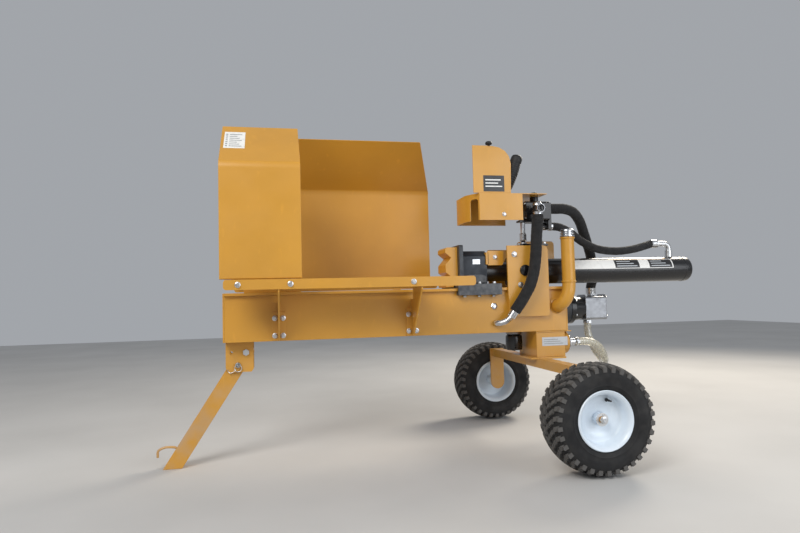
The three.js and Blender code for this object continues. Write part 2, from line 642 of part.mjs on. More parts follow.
function motorMount() {
  const inner = BEAM.half + GAP;
  const bottom = PUMP.z - MOTOR.radius - GAP;
  const shelf = block(MOTOR.x0 + 20, BELL.x0 - 130, inner, PUMP.y + 70, bottom - 8, bottom);
  const back = block(MOTOR.x0 + 20, BEAM.x1, inner, inner + 8, bottom - 8, bottom + 60);
  return cut(join(shelf, back), rod(MOTOR.radius + GAP, [0, PUMP.y, PUMP.z], [900, PUMP.y, PUMP.z], 32));
}

function driveShaft() {
  const stem = rod(SHAFT, [BELL.x0 - 58, PUMP.y, PUMP.z], [PUMP.x + 40, PUMP.y, PUMP.z], 16);
  const coupling = rod(30, [BELL.x0 + 12, PUMP.y, PUMP.z], [BELL.x0 + 62, PUMP.y, PUMP.z], 10);
  return join(stem, coupling);
}

// ---------------------------------------------------------------- axle and wheels
function axleBeam() {
  const { half, z0, z1, reach } = AXLE;
  const x = WHEEL.x;
  const channel = block(x - half, x + half, -reach, reach, z0, z1);
  const hollow = block(x - half + 5, x + half - 5, -reach - 5, reach + 5, z0 - 5, z1 - 5);
  const saddle = block(x - 54, x + 112, -SUMP.half - 14, SUMP.half + 14, z1 - 4, SUMP.z0 - GAP);
  return join(cut(channel, hollow), saddle);
}

function dropPlate(side) {
  const { half, thick } = DROP;
  const { x, radius, bore, y } = WHEEL;
  const inner = AXLE.reach + GAP;
  const shape = new THREE.Shape();
  shape.moveTo(x - half, AXLE.z1);
  shape.lineTo(x - half, radius);
  shape.absarc(x, radius, half, Math.PI, 2 * Math.PI, false);
  shape.lineTo(x + half, AXLE.z1);
  const plate = plateXZ(shape, ...between(side, inner, inner + thick));
  const spindle = rod(bore - 0.5, [x, side * (inner + 2), radius], [x, side * (y + 48), radius], 24);
  return join(plate, spindle);
}

function rim(side) {
  const { bead, bore, radius, y } = WHEEL;
  const profile = [[bore, -40], [26, -40], [26, -12], [84, -18], [90, -52], [bead - 4, -70], [bead, -66],
    [bead - 8, -44], [bead - 8, 44], [bead, 66], [bead - 4, 70], [86, 50], [80, 12], [26, 14], [26, 40],
    [bore, 40], [bore, -40]];
  return turned(profile, 'y', [WHEEL.x, side * y, radius], 28);
}

function tyre(side) {
  const { bead, radius, width, y } = WHEEL;
  const half = width / 2;
  const profile = [[bead + 1, -62], [bead + 14, -70], [bead + 48, -half], [radius - 12, -half + 16],
    [radius - 2, -34], [radius, 0], [radius - 2, 34], [radius - 12, half - 16], [bead + 48, half],
    [bead + 14, 70], [bead + 1, 62], [bead - 3, 42], [bead - 3, -42], [bead + 1, -62]];
  return turned(profile, 'y', [WHEEL.x, side * y, radius], 40);
}

// ---------------------------------------------------------------- assembly
add('beam_box', 'paint', beamBox());
add('beam_top_plate', 'paint', block(BEAM.x0, BEAM.x1, -SLIDE.half, SLIDE.half, SLIDE.z0, SLIDE.z1));
add('front_end_plate', 'paint', frontEndPlate());
add('rear_end_plate', 'paint', rearEndPlate());
add('splitting_wedge', 'paint', splittingWedge());
add('leg_bracket', 'paint', legBracket());
add('leg_pivot_bolt', 'zinc', legPivotBolt());
add('leg_tube', 'paint', legTube());
add('leg_handle', 'paint', legHandle());
add('leg_lock_pin', 'zinc', legLockPin());
for (const [name, side] of SIDES) {
  add(`tray_rail_${name}`, 'paint', trayRail(side));
  add(`tray_bracket_${name}_front`, 'paint', trayBracket(BRACKETS.front, side));
  add(`tray_bracket_${name}_rear`, 'paint', trayBracket(BRACKETS.rear, side));
  add(`mount_plate_${name}`, 'paint', mountPlate(side));
  add(`gib_${name}`, 'steel', gib(side));
  add(`drop_plate_${name}`, 'paint', dropPlate(side));
  add(`rim_${name}`, 'rim', rim(side));
  add(`tyre_${name}`, 'rubber', tyre(side));
}
add('shield_near', 'paint', shield(-1, SHIELD.near, 0));
add('shield_far', 'paint', shield(1, SHIELD.far, 80));
add('trunnion_ring', 'black', trunnionRing());
add('cylinder_tube', 'black', cylinderTube());
add('cylinder_gland', 'black', cylinderGland());
add('cylinder_cap', 'black', cylinderCap());
add('piston_rod', 'chrome', pistonRod());
add('ram_carriage', 'steel', ramCarriage());
add('pusher_plate', 'steel', pusherPlate());
add('pusher_head', 'paint', pusherHead());
add('valve_stand', 'black', valveStand());
add('valve_body', 'black', valveBody());
add('valve_spool', 'chrome', valveSpool());
add('valve_fittings', 'black', valveFittings());
add('control_guard', 'paint', controlGuard());
add('lever_guard', 'paint', leverGuard());
add('control_lever', 'zinc', controlLever());
add('lever_grip', 'black', leverGrip());
for (const [name, spec] of Object.entries(HOSES)) add(name, 'hose', hose(spec));
add('return_fitting', 'chrome', returnFitting());
add('cap_port_elbow', 'zinc', capPort());
add('filler_pipe', 'paint', fillerPipe());
add('filler_cap', 'chrome', fillerCap());
add('tank_sump', 'paint', tankSump());
add('suction_fitting', 'chrome', suctionFitting());
add('suction_hose', 'clear', suctionHose());
add('bell_housing', 'black', bellHousing());
add('pump_body', 'alloy', pumpBody());
add('drive_motor', 'motor', driveMotor());
add('motor_mount', 'paint', motorMount());
add('drive_shaft', 'steel', driveShaft());
add('axle_beam', 'paint', axleBeam());

export default group;
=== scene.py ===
"""Visual model of a horizontal log splitter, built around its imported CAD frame."""
import json
import math
import random

import bmesh
import bpy
from mathutils import Matrix, Vector


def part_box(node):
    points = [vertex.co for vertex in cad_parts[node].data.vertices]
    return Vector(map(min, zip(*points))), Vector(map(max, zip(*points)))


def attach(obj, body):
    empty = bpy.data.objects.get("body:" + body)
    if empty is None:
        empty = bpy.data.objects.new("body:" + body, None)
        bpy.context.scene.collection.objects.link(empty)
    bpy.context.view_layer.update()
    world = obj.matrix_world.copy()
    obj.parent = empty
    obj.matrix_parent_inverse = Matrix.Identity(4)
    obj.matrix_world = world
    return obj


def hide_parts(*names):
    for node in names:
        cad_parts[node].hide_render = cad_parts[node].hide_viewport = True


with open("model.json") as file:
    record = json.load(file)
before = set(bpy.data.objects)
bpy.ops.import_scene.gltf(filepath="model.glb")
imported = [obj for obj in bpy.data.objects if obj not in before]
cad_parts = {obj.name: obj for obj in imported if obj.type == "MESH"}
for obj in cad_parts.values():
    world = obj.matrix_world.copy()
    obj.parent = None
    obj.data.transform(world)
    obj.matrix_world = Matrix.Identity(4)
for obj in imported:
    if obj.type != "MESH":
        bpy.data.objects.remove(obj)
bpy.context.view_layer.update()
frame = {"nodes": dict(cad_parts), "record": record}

MM = 0.001
SEED = 11

# ---------------------------------------------------------------- driving values
# The camera, in metres and degrees.
CAMERA_PLACE = (-0.738, -2.583, 0.657)
CAMERA_TURN = (11.63, 3.01, -1.41)          # yaw, pitch and roll
CAMERA_LENS, CAMERA_SENSOR = 27.0, 36.0     # millimetres

# The machine, in millimetres.
SIDES = (("near", -1, "-y"), ("far", 1, "y"))   # a side's name, its sign along Y, its outward axis
RAIL_BOLTS, RAIL_BOLT_Z = (-880, -688, -214), 720
BRACKET_FACE = 105.4                        # outer face of a tray bracket's foot, from the middle plane
BEAM_WELD = 101                             # the beads at the foot of the mounting plates, likewise
FOOT_TOP = 882.2                            # top of the valve stand's foot
BARREL = 58                                 # outer radius of the cylinder
SUMP_PORT = (-46, 440)                      # y and z of the suction port
FILTER_PLACE = (330, 40)                    # x and y of the return filter
GAUGE_PLACE = (186, -100.1, 612)            # the oil sight gauge on the beam
MOTOR_RADIUS = 88
LEVER_TILT = 22                             # degrees, towards the rear
CARCASS, CROWN_DROP = 194.5, 11             # the tyre under its tread: radius, and fall at the shoulder
TREAD_HALF, LUG_REACH = 66, 75.5            # half width of the tread, and how far its side lugs reach
TREAD_BLOCKS, TREAD_HEIGHT = 34, 8.2        # blocks round the tyre in each row
TREAD_ROWS = ((12, 17, 19, 6), (36, 19, 19, 7), (59, 17, 20, 3))    # offset, width, length, skew


# ---------------------------------------------------------------- camera and stage
def add_camera():
    """The camera stands low beside the machine, turned a little towards its rear."""
    data = bpy.data.cameras.new("camera")
    data.lens, data.sensor_width = CAMERA_LENS, CAMERA_SENSOR
    camera = bpy.data.objects.new("camera", data)
    yaw, pitch, roll = (math.radians(a) for a in CAMERA_TURN)
    turn = Matrix.Rotation(-yaw, 4, "Z") @ Matrix.Rotation(math.pi / 2 + pitch, 4, "X")
    camera.matrix_world = (Matrix.Translation(CAMERA_PLACE) @ turn
                           @ Matrix.Rotation(roll, 4, "Z"))
    bpy.context.scene.collection.objects.link(camera)
    bpy.context.scene.camera = camera


def add_area_light(name, place, target, size, power, tint):
    data = bpy.data.lights.new(name, "AREA")
    data.shape = "DISK"
    data.size = size
    data.energy = power
    data.color = tint
    light = bpy.data.objects.new(name, data)
    aim = Vector(target) - Vector(place)
    light.matrix_world = Matrix.Translation(place) @ aim.to_track_quat("-Z", "Y").to_matrix().to_4x4()
    bpy.context.scene.collection.objects.link(light)


def add_lights():
    add_area_light("key_light", (-2.6, -3.2, 3.6), (-0.2, 0, 0.6), 2.4, 150, (1.0, 0.97, 0.92))
    add_area_light("sun_side_light", (3.0, 2.2, 3.0), (0.2, 0, 0.7), 1.8, 140, (1.0, 0.9, 0.76))
    add_area_light("fill_light", (2.2, -3.4, 1.6), (0.3, 0, 0.5), 3.0, 60, (0.93, 0.96, 1.0))
    world = bpy.data.worlds.new("studio")
    world.use_nodes = True
    background = world.node_tree.nodes["Background"]
    background.inputs["Color"].default_value = (0.86, 0.9, 0.96, 1)
    background.inputs["Strength"].default_value = 0.42
    bpy.context.scene.world = world
    bpy.context.scene.view_settings.view_transform = "Standard"


# ---------------------------------------------------------------- materials
class Nodes:
    """A short hand for one material's node tree."""

    def __init__(self, name):
        self.material = bpy.data.materials.new(name)
        self.material.use_nodes = True
        self.tree = self.material.node_tree
        self.shader = self.tree.nodes["Principled BSDF"]
        self.coords = self.tree.nodes.new("ShaderNodeTexCoord").outputs["Object"]

    def node(self, kind, **settings):
        made = self.tree.nodes.new(kind)
        for key, value in settings.items():
            setattr(made, key, value)
        return made

    def link(self, a, b):
        self.tree.links.new(a, b)

    def noise(self, scale, detail=4.0, stretch=(1, 1, 1)):
        mapping = self.node("ShaderNodeMapping")
        mapping.inputs["Scale"].default_value = stretch
        self.link(self.coords, mapping.inputs["Vector"])
        made = self.node("ShaderNodeTexNoise")
        made.inputs["Scale"].default_value = scale
        made.inputs["Detail"].default_value = detail
        self.link(mapping.outputs["Vector"], made.inputs["Vector"])
        return made.outputs["Fac"]

    def span(self, value, low, high, start=0.3, end=0.7):
        made = self.node("ShaderNodeMapRange")
        for key, number in (("From Min", start), ("From Max", end), ("To Min", low), ("To Max", high)):
            made.inputs[key].default_value = number
        self.link(value, made.inputs["Value"])
        return made.outputs["Result"]

    def blend(self, factor, a, b):
        made = self.node("ShaderNodeMix", data_type="RGBA")
        self.link(factor, made.inputs["Factor"])
        for socket, colour in ((made.inputs["A"], a), (made.inputs["B"], b)):
            if isinstance(colour, tuple):
                socket.default_value = (*colour, 1)
            else:
                self.link(colour, socket)
        return made.outputs["Result"]

    def multiply(self, a, b):
        made = self.node("ShaderNodeMath", operation="MULTIPLY")
        self.link(a, made.inputs[0])
        if isinstance(b, float):
            made.inputs[1].default_value = b
        else:
            self.link(b, made.inputs[1])
        return made.outputs["Value"]

    def height(self, low, high):
        """1 below the height low, fading to 0 at the height high."""
        split = self.node("ShaderNodeSeparateXYZ")
        self.link(self.coords, split.inputs["Vector"])
        return self.span(split.outputs["Z"], 1.0, 0.0, low, high)

    def colour(self, result):
        self.link(result, self.shader.inputs["Base Color"])

    def rough(self, result):
        self.link(result, self.shader.inputs["Roughness"])

    def bump(self, value, strength, distance):
        made = self.node("ShaderNodeBump")
        made.inputs["Strength"].default_value = strength
        made.inputs["Distance"].default_value = distance
        self.link(value, made.inputs["Height"])
        self.link(made.outputs["Normal"], self.shader.inputs["Normal"])


def shade(colour, factor):
    return tuple(min(1.0, c * factor) for c in colour)


DUST = (0.42, 0.33, 0.25)


def enamel(name, base, rough, coat=0.0, dust_top=0.0, peel=0.12):
    """Paint: soft tone changes, orange peel, and road dust that thins out upwards."""
    n = Nodes(name)
    n.shader.inputs["Coat Weight"].default_value = coat
    n.shader.inputs["Coat Roughness"].default_value = 0.2
    tone = n.span(n.noise(3.2), 0.0, 1.0)
    result = n.blend(tone, shade(base, 0.9), shade(base, 1.07))
    scuffs = n.span(n.noise(38, 8, (1, 1, 0.35)), 0.0, 0.22, 0.62, 0.74)
    result = n.blend(scuffs, result, shade(base, 1.35))
    if dust_top > 0:
        film = n.multiply(n.height(0.02, dust_top), n.span(n.noise(14, 8), 0.05, 0.7, 0.38, 0.68))
        result = n.blend(film, result, DUST)
    n.colour(result)
    n.rough(n.span(n.noise(9, 6), rough - 0.07, rough + 0.1))
    n.bump(n.noise(420, 2), peel, 0.0003)
    return n.material


def bare_metal(name, base, rough, grain=(1, 1, 1), stain=0.25):
    """Plated or machined metal with fine grain and faint stains."""
    n = Nodes(name)
    n.shader.inputs["Metallic"].default_value = 1.0
    stains = n.span(n.noise(22, 8), 0.0, stain, 0.45, 0.72)
    n.colour(n.blend(stains, base, shade(base, 0.5)))
    n.rough(n.span(n.noise(60, 5, grain), rough - 0.06, rough + 0.12))
    n.bump(n.noise(260, 3, grain), 0.1, 0.0003)
    return n.material


def worn_steel(name, base):
    """Dark oiled steel whose edges are rubbed bright."""
    n = Nodes(name)
    n.shader.inputs["Metallic"].default_value = 0.25
    edge = n.node("ShaderNodeNewGeometry").outputs["Pointiness"]
    rubbed = n.multiply(n.span(edge, 0.0, 0.8, 0.52, 0.6), n.span(n.noise(55, 6), 0.2, 1.0))
    tone = n.blend(n.span(n.noise(12, 6), 0, 1), shade(base, 0.7), shade(base, 1.4))
    n.colour(n.blend(rubbed, tone, (0.2, 0.2, 0.2)))
    n.rough(n.span(n.noise(30, 6), 0.3, 0.55))
    n.bump(n.noise(150, 4), 0.15, 0.0004)
    return n.material


def tyre_rubber():
    n = Nodes("tyre_rubber")
    dusty = n.span(n.noise(26, 9), 0.0, 0.5, 0.46, 0.72)
    # Convex tread edges are lightened to a dusty grey: partly dust, partly a painted highlight in place of
    # the glints on the block tops.
    edge = n.span(n.node("ShaderNodeNewGeometry").outputs["Pointiness"], 0.0, 0.75, 0.52, 0.62)
    rubber = n.blend(dusty, (0.006, 0.006, 0.007), (0.03, 0.028, 0.026))
    n.colour(n.blend(edge, rubber, (0.11, 0.105, 0.1)))
    n.rough(n.span(n.noise(12, 6), 0.62, 0.9))
    n.bump(n.noise(240, 4), 0.2, 0.0005)
    return n.material


def sleeve_textile():
    """Woven protective sleeve: two crossed fine waves make the weave."""
    n = Nodes("sleeve_textile")
    weave = []
    for direction in ("X", "Z"):
        wave = n.node("ShaderNodeTexWave", bands_direction=direction)
        wave.inputs["Scale"].default_value = 420
        wave.inputs["Distortion"].default_value = 1.5
        n.link(n.coords, wave.inputs["Vector"])
        weave.append(wave.outputs["Fac"])
    cloth = n.multiply(weave[0], weave[1])
    n.colour(n.blend(cloth, (0.003, 0.003, 0.0035), (0.02, 0.02, 0.022)))
    n.rough(n.span(n.noise(40, 4), 0.7, 0.95))
    n.shader.inputs["Sheen Weight"].default_value = 0.08
    n.bump(cloth, 0.6, 0.0007)
    return n.material


def clear_hose():
    """Cloudy clear plastic with a fine reinforcing braid."""
    n = Nodes("clear_hose")
    n.shader.inputs["Transmission Weight"].default_value = 0.55
    n.shader.inputs["IOR"].default_value = 1.42
    braid = n.span(n.noise(300, 2), 0, 1, 0.45, 0.6)
    n.colour(n.blend(braid, (0.82, 0.8, 0.68), (0.6, 0.56, 0.44)))
    n.rough(n.span(n.noise(30, 4), 0.18, 0.34))
    n.bump(braid, 0.25, 0.0004)
    return n.material


def moulded(name, base, rough):
    n = Nodes(name)
    n.colour(n.blend(n.span(n.noise(30, 6), 0, 1), shade(base, 0.75), shade(base, 1.35)))
    n.rough(n.span(n.noise(80, 4), rough - 0.08, rough + 0.1))
    n.bump(n.noise(700, 3), 0.25, 0.0003)
    return n.material


def printed(name, base):
    """Vinyl label stock, slightly yellowed and scuffed."""
    n = Nodes(name)
    n.colour(n.blend(n.span(n.noise(60, 8), 0, 0.6, 0.5, 0.75), base, shade(base, 0.78)))
    n.rough(n.span(n.noise(90, 4), 0.28, 0.42))
    return n.material


AMBER = (0.58, 0.285, 0.032)
MAT = {
    "paint": enamel("amber_paint", AMBER, 0.36, coat=0.25, dust_top=0.5),
    # The rim's pale blue base colour is a painted sky reflection and painted light on a light rim, not the
    # enamel's own colour.
    "rim": enamel("rim_enamel_painted_sky_tint", (0.7, 0.78, 0.86), 0.36, coat=0.25),
    "black_paint": enamel("black_enamel", (0.006, 0.006, 0.007), 0.26, coat=0.2, peel=0.06),
    "motor": enamel("motor_enamel", (0.03, 0.034, 0.04), 0.45),
    "chrome": bare_metal("bright_chrome", (0.6, 0.61, 0.63), 0.2, stain=0.1),
    "zinc": bare_metal("zinc_plate", (0.66, 0.67, 0.68), 0.3),
    "alloy": bare_metal("cast_alloy", (0.36, 0.37, 0.39), 0.42, stain=0.35),
    "dark_steel": worn_steel("oiled_steel", (0.016, 0.021, 0.03)),
    "tyre": tyre_rubber(),
    "hose": sleeve_textile(),
    "clear_hose": clear_hose(),
    "grip": moulded("grip_rubber", (0.008, 0.008, 0.009), 0.55),
    "white_print": printed("white_label", (0.8, 0.8, 0.78)),
    "grey_print": printed("grey_label", (0.25, 0.26, 0.27)),
    "black_print": printed("black_label", (0.02, 0.02, 0.022)),
    "silver_print": printed("silver_label", (0.5, 0.53, 0.56)),
}
SLOTS = {"white_print": "paint", "grey_print": "paint", "black_print": "paint", "silver_print": "paint",
         "motor": "black_paint"}


# ---------------------------------------------------------------- mesh tools
def facing(axis):
    """The rotation that takes +Z to the axis, given as a letter or a direction."""
    if isinstance(axis, str):
        sign = -1 if axis.startswith("-") else 1
        axis = {"x": (1, 0, 0), "y": (0, 1, 0), "z": (0, 0, 1)}[axis[-1]]
        axis = tuple(sign * a for a in axis)
    return Vector((0, 0, 1)).rotation_difference(Vector(axis)).to_matrix()


class Piece:
    """Collects closed shapes, in millimetres, and turns them into one object in metres."""

    def __init__(self, name, body, material):
        self.name, self.body, self.material = name, body, material
        self.slot = SLOTS.get(material, material)
        self.bm = bmesh.new()

    def ring_skin(self, rings):
        """Joins rings of points into one closed skin with flat ends."""
        rows = [[self.bm.verts.new(p) for p in ring] for ring in rings]
        count = len(rows[0])
        for a, b in zip(rows, rows[1:]):
            for i in range(count):
                j = (i + 1) % count
                self.bm.faces.new((a[i], a[j], b[j], b[i]))
        self.bm.faces.new(list(reversed(rows[0])))
        self.bm.faces.new(rows[-1])

    def lathe(self, profile, axis, at, sides=48):
        """profile: (radius, height) pairs from the first end to the last, both ends closed flat."""
        turn, origin = facing(axis), Vector(at)
        rings = []
        for radius, height in profile:
            radius = max(radius, 0.02)
            ring = []
            for i in range(sides):
                angle = 2 * math.pi * i / sides
                point = Vector((radius * math.cos(angle), radius * math.sin(angle), height))
                ring.append(origin + turn @ point)
            rings.append(ring)
        self.ring_skin(rings)

    def hoop(self, profile, axis, at, sides=64):
        """A lathe whose profile closes on itself, such as a tyre or a washer."""
        turn, origin = facing(axis), Vector(at)
        rows = []
        for i in range(sides):
            angle = 2 * math.pi * i / sides
            spoke = Vector((math.cos(angle), math.sin(angle), 0))
            rows.append([self.bm.verts.new(origin + turn @ (spoke * r + Vector((0, 0, h))))
                         for r, h in profile])
        for i in range(sides):
            a, b = rows[i], rows[(i + 1) % sides]
            for k in range(len(profile)):
                m = (k + 1) % len(profile)
                self.bm.faces.new((a[k], b[k], b[m], a[m]))

    def tube(self, points, radius, sides):
        """A round rod along the points; radius is one number, or a list with one for each point."""
        points = [Vector(p) for p in points]
        radii = radius if isinstance(radius, list) else [radius] * len(points)
        rings, side = [], None
        for i, point in enumerate(points):
            ahead = points[min(i + 1, len(points) - 1)] - points[max(i - 1, 0)]
            ahead.normalize()
            if side is None:
                side = ahead.orthogonal().normalized()
            side = (side - ahead * side.dot(ahead)).normalized()
            up = ahead.cross(side)
            rings.append([point + (side * math.cos(a) + up * math.sin(a)) * radii[i]
                          for a in (2 * math.pi * k / sides for k in range(sides))])
        self.ring_skin(rings)

    def block(self, low, high, turn=None, about=None):
        corners = [Vector((x, y, z)) for z in (low[2], high[2]) for x, y in
                   ((low[0], low[1]), (high[0], low[1]), (high[0], high[1]), (low[0], high[1]))]
        if turn is not None:
            pivot = Vector(about)
            corners = [pivot + turn @ (c - pivot) for c in corners]
        self.ring_skin([corners[:4], corners[4:]])

    def sheet(self, outline, depth_axis, start, end):
        """An outline of (u, v) pairs pushed along x, y or z; u and v are the other two axes in order."""
        def place(u, v, w):
            return {"x": (w, u, v), "y": (u, w, v), "z": (u, v, w)}[depth_axis]
        self.ring_skin([[place(u, v, w) for u, v in outline] for w in (start, end)])

    def nut(self, at, axis, across, height):
        r = across / math.sqrt(3)
        self.lathe([(r * 0.9, 0), (r, height * 0.12), (r, height * 0.85), (r * 0.86, height)], axis, at, 6)

    def bolt(self, at, axis, across):
        """A hexagon bolt head on a washer, standing on the point at."""
        turn = facing(axis)
        washer = across * 0.14
        self.lathe([(across * 0.82, 0), (across * 0.84, washer * 0.3), (across * 0.84, washer * 0.8),
                    (across * 0.8, washer)], axis, at, 28)
        self.nut(Vector(at) + turn @ Vector((0, 0, washer)), axis, across, across * 0.6)

    def done(self, bevel=0.0, smooth=38, replaces=()):
        """Makes the object; bevel is in millimetres, smooth is the sharpest angle shaded as a curve."""
        bmesh.ops.recalc_face_normals(self.bm, faces=self.bm.faces)
        mesh = bpy.data.meshes.new(self.name)
        bmesh.ops.scale(self.bm, vec=(MM, MM, MM), verts=self.bm.verts)
        self.bm.to_mesh(mesh)
        self.bm.free()
        mesh.materials.append(MAT[self.material])
        obj = bpy.data.objects.new(self.name, mesh)
        bpy.context.scene.collection.objects.link(obj)
        if bevel:
            add_bevel(obj, bevel)
        mesh.shade_smooth()
        mesh.set_sharp_from_angle(angle=math.radians(180 if bevel else smooth))
        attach(obj, self.body)
        if replaces:
            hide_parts(*replaces)
        return obj


def add_bevel(obj, width):
    bevel = obj.modifiers.new("rounded_edges", "BEVEL")
    bevel.width = width * MM
    bevel.segments = 2
    bevel.limit_method = "ANGLE"
    bevel.angle_limit = math.radians(35)
    normals = obj.modifiers.new("flat_faces", "WEIGHTED_NORMAL")
    normals.keep_sharp = False


def smooth_path(points, per_span=8):
    """Centripetal curve through the points."""
    p = [Vector(q) for q in points]
    p = [p[0] * 2 - p[1]] + p + [p[-1] * 2 - p[-2]]
    out = []
    for i in range(1, len(p) - 2):
        a, b, c, d = p[i - 1:i + 3]
        t = [0.0]
        for u, v in ((a, b), (b, c), (c, d)):
            t.append(t[-1] + max((v - u).length, 1e-6) ** 0.5)
        for k in range(per_span):
            s = t[1] + (t[2] - t[1]) * k / per_span
            ab = a.lerp(b, (s - t[0]) / (t[1] - t[0]))
            bc = b.lerp(c, (s - t[1]) / (t[2] - t[1]))
            cd = c.lerp(d, (s - t[2]) / (t[3] - t[2]))
            abc = ab.lerp(bc, (s - t[0]) / (t[2] - t[0]))
            bcd = bc.lerp(cd, (s - t[1]) / (t[3] - t[1]))
            out.append(abc.lerp(bcd, (s - t[1]) / (t[2] - t[1])))
    out.append(p[-2])
    return out


def low_high(node):
    """A CAD node's corners in millimetres."""
    low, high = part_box(node)
    return Vector(low) / MM, Vector(high) / MM


def middle(node):
    low, high = low_high(node)
    return (low + high) / 2


# ---------------------------------------------------------------- hoses
HOSE_RETURN = [(380, -156, 1004.4), (380, -156, 986), (376, -157, 960), (368, -160, 900), (361, -164, 830),
               (349, -166, 760), (330, -165, 700), (306, -161, 656), (286.2, -156.6, 624.1),
               (273, -153, 604.4), (262, -150, 588)]
HOSE_PRESSURE = [(466, -62, 1046), (501, -62, 1046), (520, -62, 1046), (550, -62, 1046), (600, -52, 1034),
                 (646, -24, 1000), (690, 20, 950), (732, 64, 896), (768, 100, 838), (798, 140, 775),
                 (818, 184, 722), (824, 210, 694), (824, 214, 674), (824, 214, 654)]
HOSE_CYLINDER = [(487, -38, 968), (506, -38, 968), (540, -38, 964), (590, -38, 940), (646, -40, 898),
                 (720, -40, 864), (820, -36, 852), (920, -24, 862), (1000, -6, 880), (1032, 0, 888.3),
                 (1046, 0, 888.3), (1060, 0, 888.3)]
SUCTION = [(593.9, -46, 440), (607.6, -46, 440), (653.6, -46, 438), (701.6, -40, 420), (739.6, -20, 384),
           (771.6, 20, 350), (799.6, 70, 334), (815.6, 130, 344), (813.6, 184, 384), (802, 210, 440),
           (798, 214, 470), (798, 214, 492), (798, 214, 525.7)]


def sleeved_hose(name, route, radius, node):
    """A hose in a textile sleeve that is gathered a little along its length."""
    path = smooth_path(route, 14)
    wrinkles = random.Random(len(name))
    radii = []
    for i in range(len(path)):
        ruffle = math.sin(i * 1.15) + 0.6 * math.sin(i * 2.3 + 1) + 0.5 * wrinkles.random()
        radii.append(radius * (0.965 + 0.016 * ruffle))
    hose = Piece(name, "frame", "hose")
    hose.tube(path, radii, 26)
    hose.done(replaces=(node,))


def ferrule(name, route, radius):
    """The crimped metal end at the last point of a hose's route, just outside its sleeve."""
    a, b = Vector(route[-1]), Vector(route[-2])
    along = (b - a).normalized()
    end = Piece(name, "frame", "zinc")
    profile = [(radius * 0.8, -1), (radius + 1.5, 0)]
    for i in range(4):
        profile += [(radius + 1.5, 2 + i * 7), (radius + 0.8, 4 + i * 7), (radius + 1.5, 6 + i * 7)]
    profile += [(radius + 1.5, 30), (radius * 0.8, 31)]
    end.lathe(profile, tuple(along), a, 28)
    end.done()


def all_hoses():
    sleeved_hose("return_hose", HOSE_RETURN, 25, "hose_return")
    sleeved_hose("pressure_hose", HOSE_PRESSURE, 24, "hose_pressure")
    sleeved_hose("cylinder_hose", HOSE_CYLINDER, 19, "hose_cylinder")
    ferrule("pressure_hose_pump_end", HOSE_PRESSURE, 23)
    ferrule("cylinder_hose_cap_end", HOSE_CYLINDER, 18)
    path = smooth_path(SUCTION)
    hose = Piece("suction_tube", "frame", "clear_hose")
    hose.tube(path, 17.6, 24)
    hose.done(replaces=("suction_hose",))
    helix = Piece("suction_hose_wire", "frame", "zinc")
    for i in range(6, len(path) - 5, 2):
        along = (path[i + 1] - path[i - 1]).normalized()
        helix.hoop([(17.5, -0.6), (18.1, -0.6), (18.1, 0.6), (17.5, 0.6)], tuple(along), path[i], 24)
    helix.done()
    clamps = Piece("suction_hose_clamps", "frame", "zinc")
    for i, k in ((2, 3), (len(path) - 4, len(path) - 3)):
        along = (path[k] - path[i]).normalized()
        clamps.hoop([(18.2, -5), (19.6, -5), (19.6, 5), (18.2, 5)], tuple(along), path[i], 32)
        clamps.block(path[i] + Vector((-6, -26, -6)), path[i] + Vector((6, -18.5, 6)))
    clamps.done(bevel=0.4)


# ---------------------------------------------------------------- wheels
def crown(y):
    """The tyre's carcass radius at a distance y from its middle plane."""
    return CARCASS - CROWN_DROP * (abs(y) / TREAD_HALF) ** 2.6


def tread_block(piece, centre, y, angle, wide, long, skew):
    """One rubber block on the crown; skew shifts its outer end round the tyre."""
    rings = []
    for lift, shrink in ((-3, 1.0), (TREAD_HEIGHT, 0.84)):
        ring = []
        for u, v in ((-1, -1), (1, -1), (1, 1), (-1, 1)):
            across = y + u * wide * shrink / 2
            turn = angle + (v * long * shrink / 2 + u * skew) / 200
            radius = crown(across) + lift
            ring.append(centre + Vector((math.sin(turn) * radius, across, math.cos(turn) * radius)))
        rings.append(ring)
    piece.ring_skin(rings)


def tyre(side):
    centre = middle(f"tyre_{side}")
    rubber = Piece(f"{side}_tyre", f"wheel_{side}", "tyre")
    wall = [(104, -42), (107, -60), (115, -69), (124, -73), (127, -75), (130, -74), (140, -76.5),
            (156, -77.5), (170, -74), (180, -69), (184, -64)]
    tread = [(crown(y), y) for y in (-56, -40, -20, 0, 20, 40, 56)]
    rubber.hoop(wall + tread + [(r, -h) for r, h in reversed(wall)], "y", centre, 96)
    half = math.pi / TREAD_BLOCKS
    for i in range(TREAD_BLOCKS):
        angle = 2 * math.pi * i / TREAD_BLOCKS
        for sign in (-1, 1):
            for row, (y, wide, long, skew) in enumerate(TREAD_ROWS):
                stagger = half * ((sign > 0) != (row == 1))
                tread_block(rubber, centre, sign * y, angle + stagger, wide, long, sign * skew)
            lug = Matrix.Rotation(-angle - half * (sign > 0), 3, "Y")
            y0, y1 = sorted((sign * TREAD_HALF, sign * LUG_REACH))
            rubber.block((centre.x - 7.5, centre.y + y0, centre.z + 172),
                         (centre.x + 7.5, centre.y + y1, centre.z + 189), lug.inverted(), centre)
    rubber.done(replaces=(f"tyre_{side}",))


